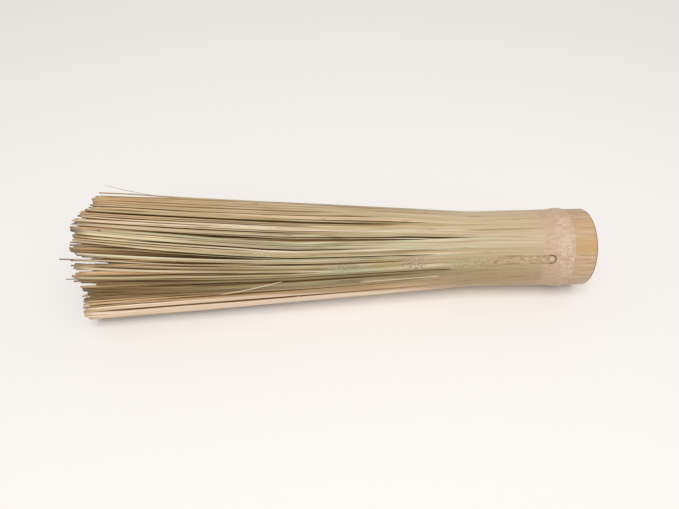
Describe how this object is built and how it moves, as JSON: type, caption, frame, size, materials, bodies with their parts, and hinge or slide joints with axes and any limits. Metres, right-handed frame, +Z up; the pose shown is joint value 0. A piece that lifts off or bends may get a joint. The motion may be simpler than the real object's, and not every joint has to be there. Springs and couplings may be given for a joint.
{
  "type": "split bamboo pot whisk",
  "caption": "Bamboo pot whisk: a length of culm with a closed node as its grip, its wall split into staves of long springy splints that fan out to a round tip.",
  "frame": {"origin": "centre of the whisk's footprint on the surface that it lies on", "axes": "+X along the culm from the splint tips to the sawn butt, +Z up from the surface, +Y across"},
  "size_m": [0.2851, 0.0737, 0.0596],
  "materials": {
    "culm_bark": "natural bamboo skin, dry, slightly waxy, straw with green and pinkish streaks",
    "outer_splints": "split bamboo, matt, with lengthwise fibres",
    "middle_splints": "split bamboo, matt, with lengthwise fibres",
    "inner_splints": "split bamboo, matt, with lengthwise fibres"
  },
  "bodies": {
    "handle": {"culm_handle": "culm_bark"},
    "stave_01": {"stave_01_outer_splints": "outer_splints", "stave_01_middle_splints": "middle_splints", "stave_01_inner_splints": "inner_splints"},
    "stave_02": {"stave_02_outer_splints": "outer_splints", "stave_02_middle_splints": "middle_splints", "stave_02_inner_splints": "inner_splints"},
    "stave_03": {"stave_03_outer_splints": "outer_splints", "stave_03_middle_splints": "middle_splints", "stave_03_inner_splints": "inner_splints"},
    "stave_04": {"stave_04_outer_splints": "outer_splints", "stave_04_middle_splints": "middle_splints", "stave_04_inner_splints": "inner_splints"},
    "stave_05": {"stave_05_outer_splints": "outer_splints", "stave_05_middle_splints": "middle_splints", "stave_05_inner_splints": "inner_splints"},
    "stave_06": {"stave_06_outer_splints": "outer_splints", "stave_06_middle_splints": "middle_splints", "stave_06_inner_splints": "inner_splints"},
    "stave_07": {"stave_07_outer_splints": "outer_splints", "stave_07_middle_splints": "middle_splints", "stave_07_inner_splints": "inner_splints"},
    "stave_08": {"stave_08_outer_splints": "outer_splints", "stave_08_middle_splints": "middle_splints", "stave_08_inner_splints": "inner_splints"},
    "stave_09": {"stave_09_outer_splints": "outer_splints", "stave_09_middle_splints": "middle_splints", "stave_09_inner_splints": "inner_splints"},
    "stave_10": {"stave_10_outer_splints": "outer_splints", "stave_10_middle_splints": "middle_splints", "stave_10_inner_splints": "inner_splints"},
    "stave_11": {"stave_11_outer_splints": "outer_splints", "stave_11_middle_splints": "middle_splints", "stave_11_inner_splints": "inner_splints"},
    "stave_12": {"stave_12_outer_splints": "outer_splints", "stave_12_middle_splints": "middle_splints", "stave_12_inner_splints": "inner_splints"},
    "stave_13": {"stave_13_outer_splints": "outer_splints", "stave_13_middle_splints": "middle_splints", "stave_13_inner_splints": "inner_splints"},
    "stave_14": {"stave_14_outer_splints": "outer_splints", "stave_14_middle_splints": "middle_splints", "stave_14_inner_splints": "inner_splints"},
    "stave_15": {"stave_15_outer_splints": "outer_splints", "stave_15_middle_splints": "middle_splints", "stave_15_inner_splints": "inner_splints"},
    "stave_16": {"stave_16_outer_splints": "outer_splints", "stave_16_middle_splints": "middle_splints", "stave_16_inner_splints": "inner_splints"}
  },
  "joints": [
    {"name": "stave_01_flex", "type": "hinge", "parent": "handle", "child": "stave_01", "pos_m": [0.0785, 0.00386, 0.04229], "axis": [0, 0.9808, -0.1951], "range_deg": [-2, 12], "stiffness_Nm_per_rad": 0.35},
    {"name": "stave_02_flex", "type": "hinge", "parent": "handle", "child": "stave_02", "pos_m": [0.0785, 0.01099, 0.03934], "axis": [0, 0.8315, -0.5556], "range_deg": [-2, 12], "stiffness_Nm_per_rad": 0.35},
    {"name": "stave_03_flex", "type": "hinge", "parent": "handle", "child": "stave_03", "pos_m": [0.0785, 0.01644, 0.03389], "axis": [0, 0.5556, -0.8315], "range_deg": [-2, 12], "stiffness_Nm_per_rad": 0.35},
    {"name": "stave_04_flex", "type": "hinge", "parent": "handle", "child": "stave_04", "pos_m": [0.0785, 0.01939, 0.02676], "axis": [0, 0.1951, -0.9808], "range_deg": [-2, 12], "stiffness_Nm_per_rad": 0.35},
    {"name": "stave_05_flex", "type": "hinge", "parent": "handle", "child": "stave_05", "pos_m": [0.0785, 0.01939, 0.01904], "axis": [0, -0.1951, -0.9808], "range_deg": [-2, 12], "stiffness_Nm_per_rad": 0.35},
    {"name": "stave_06_flex", "type": "hinge", "parent": "handle", "child": "stave_06", "pos_m": [0.0785, 0.01644, 0.01191], "axis": [0, -0.5556, -0.8315], "range_deg": [-2, 12], "stiffness_Nm_per_rad": 0.35},
    {"name": "stave_07_flex", "type": "hinge", "parent": "handle", "child": "stave_07", "pos_m": [0.0785, 0.01099, 0.00646], "axis": [0, -0.8315, -0.5556], "range_deg": [-2, 12], "stiffness_Nm_per_rad": 0.35},
    {"name": "stave_08_flex", "type": "hinge", "parent": "handle", "child": "stave_08", "pos_m": [0.0785, 0.00386, 0.0035], "axis": [0, -0.9808, -0.1951], "range_deg": [-2, 12], "stiffness_Nm_per_rad": 0.35},
    {"name": "stave_09_flex", "type": "hinge", "parent": "handle", "child": "stave_09", "pos_m": [0.0785, -0.00386, 0.0035], "axis": [0, -0.9808, 0.1951], "range_deg": [-2, 12], "stiffness_Nm_per_rad": 0.35},
    {"name": "stave_10_flex", "type": "hinge", "parent": "handle", "child": "stave_10", "pos_m": [0.0785, -0.01099, 0.00646], "axis": [0, -0.8315, 0.5556], "range_deg": [-2, 12], "stiffness_Nm_per_rad": 0.35},
    {"name": "stave_11_flex", "type": "hinge", "parent": "handle", "child": "stave_11", "pos_m": [0.0785, -0.01644, 0.01191], "axis": [0, -0.5556, 0.8315], "range_deg": [-2, 12], "stiffness_Nm_per_rad": 0.35},
    {"name": "stave_12_flex", "type": "hinge", "parent": "handle", "child": "stave_12", "pos_m": [0.0785, -0.01939, 0.01904], "axis": [0, -0.1951, 0.9808], "range_deg": [-2, 12], "stiffness_Nm_per_rad": 0.35},
    {"name": "stave_13_flex", "type": "hinge", "parent": "handle", "child": "stave_13", "pos_m": [0.0785, -0.01939, 0.02676], "axis": [0, 0.1951, 0.9808], "range_deg": [-2, 12], "stiffness_Nm_per_rad": 0.35},
    {"name": "stave_14_flex", "type": "hinge", "parent": "handle", "child": "stave_14", "pos_m": [0.0785, -0.01644, 0.03389], "axis": [0, 0.5556, 0.8315], "range_deg": [-2, 12], "stiffness_Nm_per_rad": 0.35},
    {"name": "stave_15_flex", "type": "hinge", "parent": "handle", "child": "stave_15", "pos_m": [0.0785, -0.01099, 0.03934], "axis": [0, 0.8315, 0.5556], "range_deg": [-2, 12], "stiffness_Nm_per_rad": 0.35},
    {"name": "stave_16_flex", "type": "hinge", "parent": "handle", "child": "stave_16", "pos_m": [0.0785, -0.00386, 0.04229], "axis": [0, 0.9808, 0.1951], "range_deg": [-2, 12], "stiffness_Nm_per_rad": 0.35}
  ]
}
